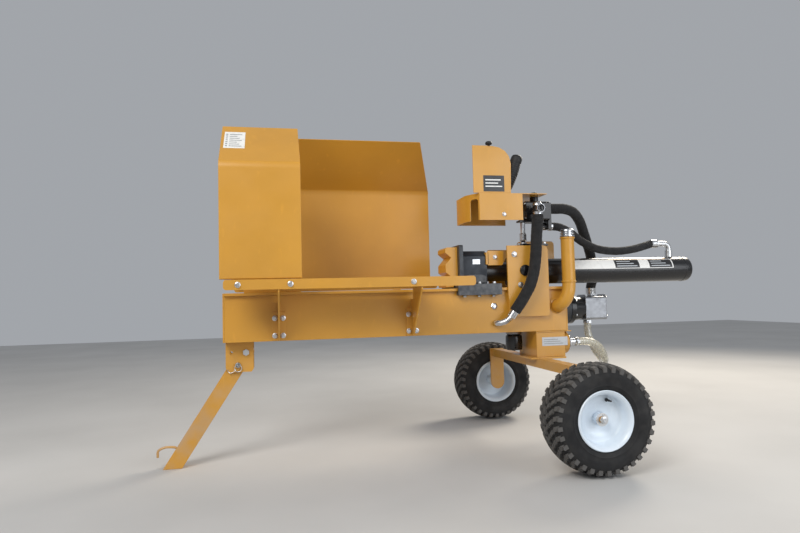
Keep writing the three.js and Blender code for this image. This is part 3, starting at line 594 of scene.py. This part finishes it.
def rim(side, out, axis):
    """The dished rim, its hub nut, the axle's nut and the tyre's valve."""
    centre = middle(f"rim_{side}")
    disc = Piece(f"{side}_rim", f"wheel_{side}", "rim")
    profile = [(13, -40), (24, -40), (26, -37), (26, 12), (34, 13), (48, 12), (56, 15), (70, 19), (80, 17),
               (86, 20), (89, 30), (90, 50), (94, 62), (100, 68), (106, 71.5), (109, 69), (108, 64),
               (103, 60), (101.5, 44), (98, 20), (97, -20), (101.5, -44), (103, -60), (108, -64),
               (109, -69), (106, -71.5), (100, -68), (93, -60), (90, -40), (88, 0), (82, 12), (70, 14),
               (56, 10), (34, 8), (20, 8), (20, 38), (13, 38)]
    disc.hoop(profile, axis, centre, 72)
    disc.done(replaces=(f"rim_{side}",), smooth=50)
    hub = Piece(f"{side}_hub_nut", f"wheel_{side}", "zinc")
    face = centre + Vector((0, out * 38.6, 0))
    hub.hoop([(13.2, 0), (24, 0), (24, 3), (13.2, 3)], axis, face, 32)
    hub.done(bevel=0.4)
    axle = Piece(f"{side}_axle_nut", "frame", "zinc")
    tip = Vector((centre.x, centre.y + out * 48.4, centre.z))
    axle.nut(tip, axis, 25, 9)
    axle.lathe([(7.5, 0), (7.5, 11), (6, 13)], axis, tip, 20)
    axle.done()
    valve = Piece(f"{side}_tyre_valve", f"wheel_{side}", "grip")
    foot = centre + Vector((30, out * 20, 66))
    valve.lathe([(6, 0), (6.5, 4), (4, 7), (4, 22), (3, 24), (3, 34), (2, 35)], axis, foot, 20)
    valve.done()


# ---------------------------------------------------------------- bolts and welds
PLATE_FACE = low_high("mount_plate_far")[1].y


def bolt_group(name, axis, across, places):
    group = Piece(name, "frame", "zinc")
    for place in places:
        group.bolt(place, axis, across)
    group.done()


def frame_bolts():
    for side, out, axis in SIDES:
        face = low_high(f"tray_rail_{side}")[out > 0].y
        bolt_group(f"{side}_rail_bolts", axis, 13, [(x, face, RAIL_BOLT_Z) for x in RAIL_BOLTS])
    for side, out, axis in SIDES:
        middles = [middle(f"tray_bracket_{side}_{end}").x for end in ("front", "rear")]
        bolt_group(f"{side}_bracket_bolts", axis, 13,
                   [(x + dx, out * BRACKET_FACE, z) for x in middles for dx in (-16, 16) for z in (518, 588)])
        plate = out * (PLATE_FACE + 0.1)
        bolt_group(f"{side}_plate_bolts", axis, 15, [(278, plate, 836), (304, plate, 702)])
    bolt_group("guard_bolts", "-y", 11, [(228, -150.2, 1008)])
    bolt_group("valve_foot_bolts", "z", 12,
               [(x, y, FOOT_TOP) for x, y in ((434, -36), (434, -98), (336, -36))])


def gib_bolts():
    for side, out, _ in SIDES:
        low, high = low_high(f"gib_{side}")
        group = Piece(f"{side}_gib_bolts", "ram", "zinc")
        for i in range(3):
            x = low.x + 32 + i * 66
            group.bolt((x, out * 123.6, high.z + 0.1), "z", 12)
            group.nut((x, out * 116, low.z - 0.1), "-z", 13, 9)
        group.done()


def weld(name, start, end, radius):
    """A bead of overlapping ripples between two points."""
    start, end = Vector(start), Vector(end)
    steps = max(4, int((end - start).length / 3))
    points = [start.lerp(end, i / steps) for i in range(steps + 1)]
    rng = random.Random(SEED + steps)
    radii = [radius * (0.82 + 0.18 * (i % 2) + 0.06 * rng.random()) for i in range(steps + 1)]
    bead = Piece(name, "frame", "paint")
    bead.tube(points, radii, 10)
    bead.done()


def welds():
    for side, out, _ in SIDES:
        y = out * BEAM_WELD
        for end, x in (("front", 258), ("rear", 437)):
            weld(f"{side}_plate_weld_{end}", (x, y, 580), (x, y, 660), 3.4)
    weld("leg_bracket_weld", (-944, -38.5, 494.5), (-838, -38.5, 494.5), 3.2)
    weld("wedge_weld_near", (-845, -36, 709.5), (-722, -27, 709.5), 3.4)
    weld("wedge_weld_far", (-845, 36, 709.5), (-722, 27, 709.5), 3.4)


# ---------------------------------------------------------------- hood
def shield(side, out):
    """Folded sheet with a lip at its foot and a round fold under its slope."""
    low, high = low_high(f"shield_{side}")
    outer, top_y, fold = out * 292, out * 78, 1175
    t = 3.0
    bend = [(outer - out * (10 * a * a), fold - 16 + 30 * a) for a in (i / 6 for i in range(7))]
    slope = bend[5:] + [(top_y, high.z)]
    front = [(outer - out * 24, low.z), (outer - out * 3, low.z), (outer, low.z + 3)] + bend[:5] + slope
    back = [(outer - out * 24, low.z + t), (outer - out * (t + 2), low.z + t), (outer - out * t, low.z + 5)]
    back += [(y - out * t, z) for y, z in bend[:5]]
    back += [(y - out * t * 0.7, z - t * 0.8) for y, z in slope]
    rings = []
    for share in (0.0, 0.25, 0.5, 0.75, 1.0):
        ring = []
        for y, z in front + list(reversed(back)):
            x1 = high.x
            if side == "far" and z > fold:
                rise = (z - fold) / (high.z - fold)
                x1 = high.x - 60 * rise - 28 * rise ** 6
            ring.append((low.x + (x1 - low.x) * share, y, z))
        rings.append(ring)
    sheet = Piece(f"{side}_hood_shield", "frame", "paint")
    sheet.ring_skin(rings)
    sheet.done(bevel=0.8, replaces=(f"shield_{side}",))


# ---------------------------------------------------------------- cylinder group
def cylinder():
    z, r = middle("cylinder_tube").z, BARREL
    low, high = low_high("cylinder_tube")
    tube = Piece("cylinder_barrel", "frame", "black_paint")
    tube.hoop([(51.2, low.x), (r - 1, low.x), (r, low.x + 2), (r, high.x), (51.2, high.x)],
              "x", (0, 0, z), 96)
    tube.done(replaces=("cylinder_tube",), smooth=50)
    low, high = low_high("cylinder_cap")
    cap = Piece("cylinder_end_cap", "frame", "black_paint")
    x0, x1 = low.x, high.x
    cap.lathe([(r - 2, x0), (r, x0 + 1), (r, x1 - 14), (r - 1.5, x1 - 9), (r - 5, x1 - 4), (r - 10, x1 - 1),
               (r - 16, x1), (20, x1), (18, x1 - 2)], "x", (0, 0, z), 96)
    cap.done(replaces=("cylinder_cap",), smooth=60)
    ring = Piece("cylinder_cap_weld", "frame", "black_paint")
    ring.hoop([(r - 1, -3), (r + 0.8, -2), (r + 1.4, 0), (r + 0.8, 2), (r - 1, 3)], "x", (x0, 0, z), 96)
    ring.done()


def curved_label(name, x0, x1, a0, a1, material, lift):
    """A thin label wrapped round the barrel, between two angles measured from the near side upwards."""
    z = middle("cylinder_tube").z
    label = Piece(name, "frame", material)
    steps = 12
    inner, outer = [], []
    for i in range(steps + 1):
        a = math.radians(a0 + (a1 - a0) * i / steps)
        inner.append((-math.cos(a) * (BARREL + 0.02), z + math.sin(a) * (BARREL + 0.02)))
        outer.append((-math.cos(a) * (BARREL + lift), z + math.sin(a) * (BARREL + lift)))
    label.sheet(outer + list(reversed(inner)), "x", x0, x1)
    label.done()


def cylinder_labels():
    curved_label("barrel_label_border", 574, 1108, 4, 54, "white_print", 0.2)
    curved_label("barrel_label_white", 580, 800, 7, 51, "white_print", 0.32)
    curved_label("barrel_label_dark_a", 804, 930, 7, 51, "black_print", 0.32)
    curved_label("barrel_label_dark_b", 982, 1102, 7, 51, "black_print", 0.32)
    curved_label("barrel_label_amber", 780, 1080, 54, 60, "paint", 0.3)
    for i in range(3):
        angle = 14 + 12 * i
        curved_label(f"barrel_label_light_{i}", 814, 918 - 16 * i, angle, angle + 4, "silver_print", 0.42)
        curved_label(f"barrel_label_mark_{i}", 992, 1090 - 20 * i, angle, angle + 4, "silver_print", 0.42)


def trunnion_ends():
    """The ends of the trunnion pins, seen as plain black discs in the plates."""
    place = middle("trunnion_ring")
    for side, out, axis in SIDES:
        pin = Piece(f"{side}_trunnion_cap", "frame", "black_paint")
        tip = low_high("trunnion_ring")[out > 0].y
        pin.hoop([(0.4, 0.2), (13.4, 0.2), (13.4, -7.6), (24, -7.6), (24, -1), (22.5, 0.6), (0.4, 0.6)],
                 axis, (place.x, tip, place.z), 48)
        pin.done(smooth=50)


def pusher_details():
    """The wear strip, side plates and rod pin of the carriage."""
    low, _ = low_high("ram_carriage")
    strip = Piece("carriage_wear_strip", "ram", "zinc")
    strip.block((low.x + 74, -56.9, 798), (low.x + 108, -56.2, 820))
    strip.done(bevel=0.2)
    tab = Piece("rod_pin_tab", "ram", "paint")
    tab.sheet([(178, 792), (244, 792), (250, 800), (252, 856), (178, 856)], "y", -64, -58)
    tab.block((170, -64, 796), (182, -40, 850))
    tab.done(bevel=0.8)
    pin = Piece("rod_pin", "ram", "zinc")
    pin.bolt((212, -64.1, 828), "-y", 12)
    pin.done()
    hump = Piece("carriage_side_plate", "ram", "dark_steel")
    for start, end in ((-62, -56.4), (56.4, 62)):
        hump.sheet([(72, 716), (170, 716), (170, 744), (150, 752), (92, 752), (72, 744)], "y", start, end)
    hump.done(bevel=0.8)


# ---------------------------------------------------------------- controls
def controls():
    low, high = low_high("lever_guard")
    label = Piece("guard_label", "frame", "black_print")
    label.block((low.x + 45, low.y - 0.5, low.z + 6), (low.x + 140, low.y - 0.05, low.z + 76))
    label.done(bevel=0.1)
    bars = Piece("guard_label_bars", "frame", "white_print")
    for i, (a, b) in enumerate(((54, 130), (54, 112), (54, 124))):
        foot = low.z + 26 + i * 14
        bars.block((low.x + a, low.y - 0.8, foot), (low.x + b, low.y - 0.4, foot + 5))
    bars.done(bevel=0.1)
    knob = Piece("guard_top_knob", "frame", "grip")
    knob.lathe([(6, 0), (6, 4), (13, 6), (15, 10), (14, 15), (10, 19), (3, 20)], "z",
               ((low.x + high.x) / 2 - 12, (low.y + high.y) / 2, high.z - 1), 32)
    knob.done(smooth=50)
    tilt = math.radians(LEVER_TILT)
    axis = Vector((math.sin(tilt), 0, math.cos(tilt)))
    pivot = Vector(next(j["pos_m"] for j in frame["record"]["behaviour"]["joints"]
                        if j["name"] == "lever_swing")) / MM
    foot = pivot + axis * 70.3
    grip = Piece("lever_handgrip", "lever", "grip")
    profile = [(19, 0), (22, 2), (24, 10)]
    for i in range(11):
        h = 16 + i * 10
        r = 25 + 2.6 * math.sin(i / 10 * math.pi)
        profile += [(r, h), (r, h + 5), (r - 1.8, h + 6.5), (r - 1.8, h + 8.5)]
    profile += [(25, 128), (25, 146), (22, 154), (14, 159), (3, 160)]
    grip.lathe(profile, tuple(axis), foot, 40)
    grip.done(replaces=("lever_grip",), smooth=55)
    boot = Piece("lever_boot", "lever", "grip")
    boot.lathe([(8.6, 40), (15, 41), (17, 46), (12, 50), (15, 54), (11, 58), (10, 69)],
               tuple(axis), pivot, 28)
    boot.done()
    hub = Piece("lever_hub_washer", "lever", "zinc")
    hub.hoop([(8, 0), (16, 0), (16, 2.5), (8, 2.5)], "-y", pivot - Vector((0, 12.2, 0)), 32)
    hub.done(bevel=0.3)


def valve_details():
    low, _ = low_high("valve_body")
    cap = Piece("valve_end_screws", "frame", "zinc")
    for y in (-92, -34):
        for z in (998, 1064):
            cap.lathe([(6, 0), (6, 7), (5, 8)], "-x", (352, y, z), 16)
    cap.done()
    relief = Piece("relief_cap", "frame", "black_paint")
    relief.lathe([(19.6, 0), (19.6, 8), (16, 10), (16, 16), (19, 17), (19, 22)], "z", (408, -62, 1076), 24)
    relief.done()
    elbow = Piece("return_elbow", "frame", "chrome")
    port = Vector(HOSE_RETURN[0])
    elbow.hoop([(20.2, 0.6), (22, 1.6), (22, 13), (20.2, 14)], "z", port, 32)
    elbow.lathe([(20.4, 0), (21.2, 1), (20, 9), (14, 15), (4, 17)], "z", port + Vector((0, 0, 41)), 32)
    elbow.hoop([(15.2, 0), (19, 1), (19, 13), (15.2, 14)], "-y", (port.x, low.y - 4, port.z + 26), 32)
    elbow.done(smooth=45)
    gland = Piece("cylinder_hose_fitting", "frame", "chrome")
    start = Vector(HOSE_CYLINDER[0])
    gland.hoop([(12.3, -52), (14, -52), (14, -34), (17, -33), (17, -16), (15, -15), (15, -6), (19.5, -5),
                (19.5, 12), (12.3, 12)], "x", start, 28)
    gland.done(smooth=30)
    stud = Piece("stud_coupler", "frame", "zinc")
    stud.hoop([(9.2, 0), (16, 1), (16, 6), (9.2, 7)], "z", (336, -92, 883), 28)
    stud.hoop([(9.2, 0), (15, 1), (16.5, 3), (16.5, 30), (15, 33), (9.2, 34)], "z", (336, -92, 896), 6)
    stud.hoop([(9.1, 0), (10.4, 0), (10.4, 46), (9.1, 46)], "z", (336, -92, 931), 24)
    stud.done(smooth=20)


# ---------------------------------------------------------------- tank, pump and motor
def filler():
    high = low_high("filler_pipe")[1]
    x, y, _ = middle("filler_cap")
    bead = Piece("filler_weld_ring", "frame", "paint")
    bead.hoop([(28.6, -5), (31.5, -3), (32.4, 0), (31.5, 3), (28.6, 5)], "z", (x, y, 712), 40)
    bead.done()
    lip = Piece("filler_flange", "frame", "paint")
    lip.hoop([(29.1, 0), (32.5, 0.5), (32.5, 5.5), (29.1, 6)], "z", (x, y, high.z - 8), 40)
    lip.done(smooth=50)
    base = Piece("filler_base_ring", "frame", "paint")
    base.hoop([(29.6, 0), (35, 0.5), (35, 2), (31, 5)], "-y", (x - 38, -100.4, 606), 40)
    base.done()
    top = Piece("breather_cap", "cap", "chrome")
    top.lathe([(30, 0.4), (32, 1), (32, 6), (26, 8), (26, 11), (31, 13), (31, 17), (26, 19), (26, 22),
               (30, 24), (30, 30), (26, 34), (12, 36)], "z", (x, y, high.z), 40)
    top.lathe([(8, -46), (8, -20), (22, -20), (22, 1)], "z", (x, y, high.z), 28)
    top.done(replaces=("filler_cap",), smooth=45)


def sump_details():
    low, high = low_high("tank_sump")
    flange = Piece("suction_flange_ring", "frame", "grip")
    x, (y, z) = high.x, SUMP_PORT
    flange.hoop([(24.5, 0), (44, 0), (44, 5), (24.5, 5)], "x", (x + 0.1, y, z), 40)
    flange.done(smooth=50)
    bolts = Piece("suction_flange_bolts", "frame", "zinc")
    for i in range(4):
        a = math.radians(45 + 90 * i)
        bolts.bolt((x + 5.2, y + 34 * math.cos(a), z + 34 * math.sin(a)), "x", 9)
    bolts.done()
    plate = Piece("rating_plate", "frame", "silver_print")
    plate.block((low.x + 26, low.y - 0.9, 430), (high.x - 14, low.y - 0.1, 468))
    plate.done(bevel=0.2)
    marks = Piece("rating_plate_bars", "frame", "grey_print")
    for i in range(3):
        marks.block((low.x + 34, low.y - 1.2, 438 + i * 9), (high.x - 36 - 12 * i, low.y - 0.85, 441 + i * 9))
    marks.done(bevel=0.1)
    strap = Piece("sump_weld_lip", "frame", "paint")
    strap.block((low.x - 4, low.y - 4, high.z - 5), (high.x + 4, high.y + 4, high.z - 0.6))
    strap.done(bevel=1)


def pump_details():
    low, high = low_high("pump_body")
    cover = Piece("pump_rear_cover", "frame", "alloy")
    y0, y1, z0, z1 = low.y - 1, high.y + 1, low.z - 1, high.z + 1
    for x in (low.x + 1, high.x - 4):
        cover.sheet([(y0, z0 + 12), (y0 + 12, z0), (y1 - 12, z0), (y1, z0 + 12), (y1, z1 - 12), (y1 - 12, z1),
                     (y0 + 12, z1), (y0, z1 - 12)], "x", x, x + 3)
    cover.done(bevel=0.6)
    bolts = Piece("pump_bolts", "frame", "zinc")
    for y in (low.y + 14, high.y - 14):
        for z in (z0 + 16, z1 - 16):
            bolts.bolt((high.x, y, z), "x", 11)
    bolts.done()
    line = middle("pump_body")
    bell = Piece("bell_housing_bolts", "frame", "zinc")
    bell_face = low_high("bell_housing")[0].x + 24.2
    for i in range(6):
        a = math.radians(30 + 60 * i)
        bell.bolt((bell_face, line.y + 69 * math.cos(a), line.z + 69 * math.sin(a)), "x", 10)
    bell.done()
    fitting = Piece("pump_fittings", "frame", "chrome")
    outlet, inlet = HOSE_PRESSURE[-1][0], SUCTION[-1][0]
    fitting.hoop([(15.4, 0), (20, 0), (20, 16), (15.4, 16)], "z", (outlet, line.y, high.z + 1), 6)
    fitting.hoop([(18.2, 0), (22, 0), (22, 14), (18.2, 14)], "z", (inlet, line.y, low.z - 17), 6)
    fitting.done(smooth=20)


def motor_details():
    low, high = low_high("drive_motor")
    fins = Piece("motor_fins", "frame", "motor")
    for i in range(30):
        a = 2 * math.pi * i / 30
        if math.sin(a) < -0.7 or math.cos(a) < -0.8:
            continue
        turn = Matrix.Rotation(a, 3, "X")
        fins.block((low.x + 50, 87, -1.6), (high.x - 40, 95, 1.6), turn, (low.x, 0, 0))
    line = middle("drive_motor")
    bmesh.ops.translate(fins.bm, vec=(0, line.y, line.z), verts=fins.bm.verts)
    fins.done(bevel=0.5)
    cowl = Piece("motor_fan_cowl", "frame", "motor")
    cowl.hoop([(88.2, 0), (89.4, 1), (89.4, 40), (88.2, 41)], "x", (low.x + 18, line.y, line.z), 56)
    for i in range(6):
        r = 20 + i * 11
        cowl.hoop([(r, -1.2), (r + 4, -1.2), (r + 4, -0.1), (r, -0.1)], "x", (low.x, line.y, line.z), 48)
    cowl.done(smooth=50)
    box = Piece("terminal_box", "frame", "motor")
    x0, x1, top = low.x + 90, low.x + 190, line.z + MOTOR_RADIUS
    box.block((x0, 186, top), (x1, 252, top + 48))
    box.done(bevel=4)
    lid = Piece("terminal_box_lid", "frame", "motor")
    lid.block((x0 - 3, 183, top + 48.4), (x1 + 3, 255, top + 58))
    lid.done(bevel=3)
    screws = Piece("terminal_box_screws", "frame", "zinc")
    for x in (x0 + 7, x1 - 7):
        for y in (193, 245):
            screws.lathe([(4, 0), (4, 1.6), (3, 2.6)], "z", (x, y, top + 58), 16)
    screws.done()


def oil_filter():
    """The return filter that hangs under the beam, ahead of the sump."""
    can = Piece("return_filter", "frame", "black_paint")
    can.lathe([(26, 0), (36, 3), (38, 10), (38, 62), (36, 68), (28, 70)], "-z", (*FILTER_PLACE, 476), 40)
    can.done(smooth=45)
    head = Piece("return_filter_head", "frame", "alloy")
    head.lathe([(34, 0), (36, 2), (36, 16), (30, 19)], "-z", (*FILTER_PLACE, 495.4), 40)
    head.done(smooth=45)
    gauge = Piece("oil_sight_gauge", "frame", "chrome")
    gauge.lathe([(15, 0), (15, 5), (12, 7), (11, 5)], "-y", GAUGE_PLACE, 6)
    gauge.lathe([(9, 4), (9, 8), (7, 9)], "-y", GAUGE_PLACE, 24)
    gauge.done(smooth=25)


# ---------------------------------------------------------------- leg and labels
def leg_details():
    pin = middle("leg_lock_pin")
    low, _ = low_high("leg_lock_pin")
    ring = Piece("lock_pin_ring", "lock_pin", "zinc")
    points = [(pin.x + 14 * math.sin(2 * math.pi * i / 40), low.y + 5,
               pin.z - 13 + 14 * math.cos(2 * math.pi * i / 40)) for i in range(38)]
    ring.tube(points, 1.6, 12)
    ring.done()
    lanyard = Piece("lock_pin_lanyard", "lock_pin", "zinc")
    bracket = low_high("leg_bracket")[0]
    tie = Vector((bracket.x + 8, bracket.y - 3, pin.z - 18))
    sag = [tie + Vector((0, 2.6, 0)), tie + Vector((2, -3, -6)), tie + Vector((10, -8, -12)),
           tie + Vector((24, -9, -8)), tie + Vector((34, -8, 2))]
    lanyard.tube(smooth_path(sag), 1.3, 10)
    lanyard.done()
    grip = Piece("lock_pin_head", "lock_pin", "zinc")
    grip.lathe([(10.2, 0), (11, 1), (11, 7), (9, 9)], "-y", (pin.x, low.y + 9, pin.z), 28)
    grip.done()


def white_label():
    """A blank notice on the near shield's slope, with plain grey bars in place of words."""
    slope = Vector((0, 214 - 10, 1374 - 1189)).normalized()
    normal = Vector((0, -slope.z, slope.y))
    origin = Vector((-938, -282, 1189))

    def patch(piece, x0, x1, s0, s1, bottom, top):
        """A thin patch on the slope, from x0 to x1 along it and from s0 to s1 up it."""
        piece.ring_skin([[origin + Vector((x, 0, 0)) + slope * s + normal * lift
                          for x, s in ((x0, s0), (x1, s0), (x1, s1), (x0, s1))] for lift in (bottom, top)])

    label = Piece("shield_label", "frame", "white_print")
    patch(label, 4, 84, 92, 226, 0.05, 0.5)
    label.done()
    bars = Piece("shield_label_bars", "frame", "grey_print")
    for i in range(7):
        s = 106 + i * 16
        patch(bars, 24, 72 - 9 * (i % 3), s, s + 5, 0.45, 0.8)
        patch(bars, 10, 18, s, s + 7, 0.45, 0.8)
    bars.done()


# ---------------------------------------------------------------- CAD pieces that stay
def dress_cad_nodes():
    """Every CAD piece that stays gets its material, softened edges and smooth curved faces."""
    slots = {row["node"]: row["material_slot"] for row in frame["record"]["subparts"]}
    for name, obj in frame["nodes"].items():
        look = "motor" if name == "drive_motor" else slots[name]
        obj.data.materials.clear()
        obj.data.materials.append(MAT[look])
        weld_close = obj.modifiers.new("joined_corners", "WELD")
        weld_close.merge_threshold = 0.02 * MM
        planar = obj.modifiers.new("clean_faces", "DECIMATE")
        planar.decimate_type = "DISSOLVE"
        planar.angle_limit = math.radians(0.6)
        obj.data.shade_smooth()
        add_bevel(obj, 0.9)


def add_floor():
    size = 9.0
    mesh = bpy.data.meshes.new("floor")
    square = [(-size, -size, 0), (size, -size, 0), (size, size, 0), (-size, size, 0)]
    mesh.from_pydata(square, [], [(0, 1, 2, 3)])
    n = Nodes("pale_floor")
    n.colour(n.blend(n.span(n.noise(1.3), 0, 1), (0.5, 0.495, 0.485), (0.56, 0.555, 0.545)))
    n.shader.inputs["Roughness"].default_value = 0.8
    mesh.materials.append(n.material)
    floor = bpy.data.objects.new("floor", mesh)
    floor.location.z = -0.0005
    bpy.context.scene.collection.objects.link(floor)


add_camera()
all_hoses()
add_lights()
add_floor()
dress_cad_nodes()
for side, out, axis in SIDES:
    tyre(side)
    rim(side, out, axis)
    shield(side, out)
frame_bolts()
gib_bolts()
welds()
cylinder()
cylinder_labels()
trunnion_ends()
pusher_details()
controls()
valve_details()
filler()
sump_details()
pump_details()
motor_details()
oil_filter()
leg_details()
white_label()


def corners(bounds):
    return [[float(v) for v in corner] for corner in bounds]
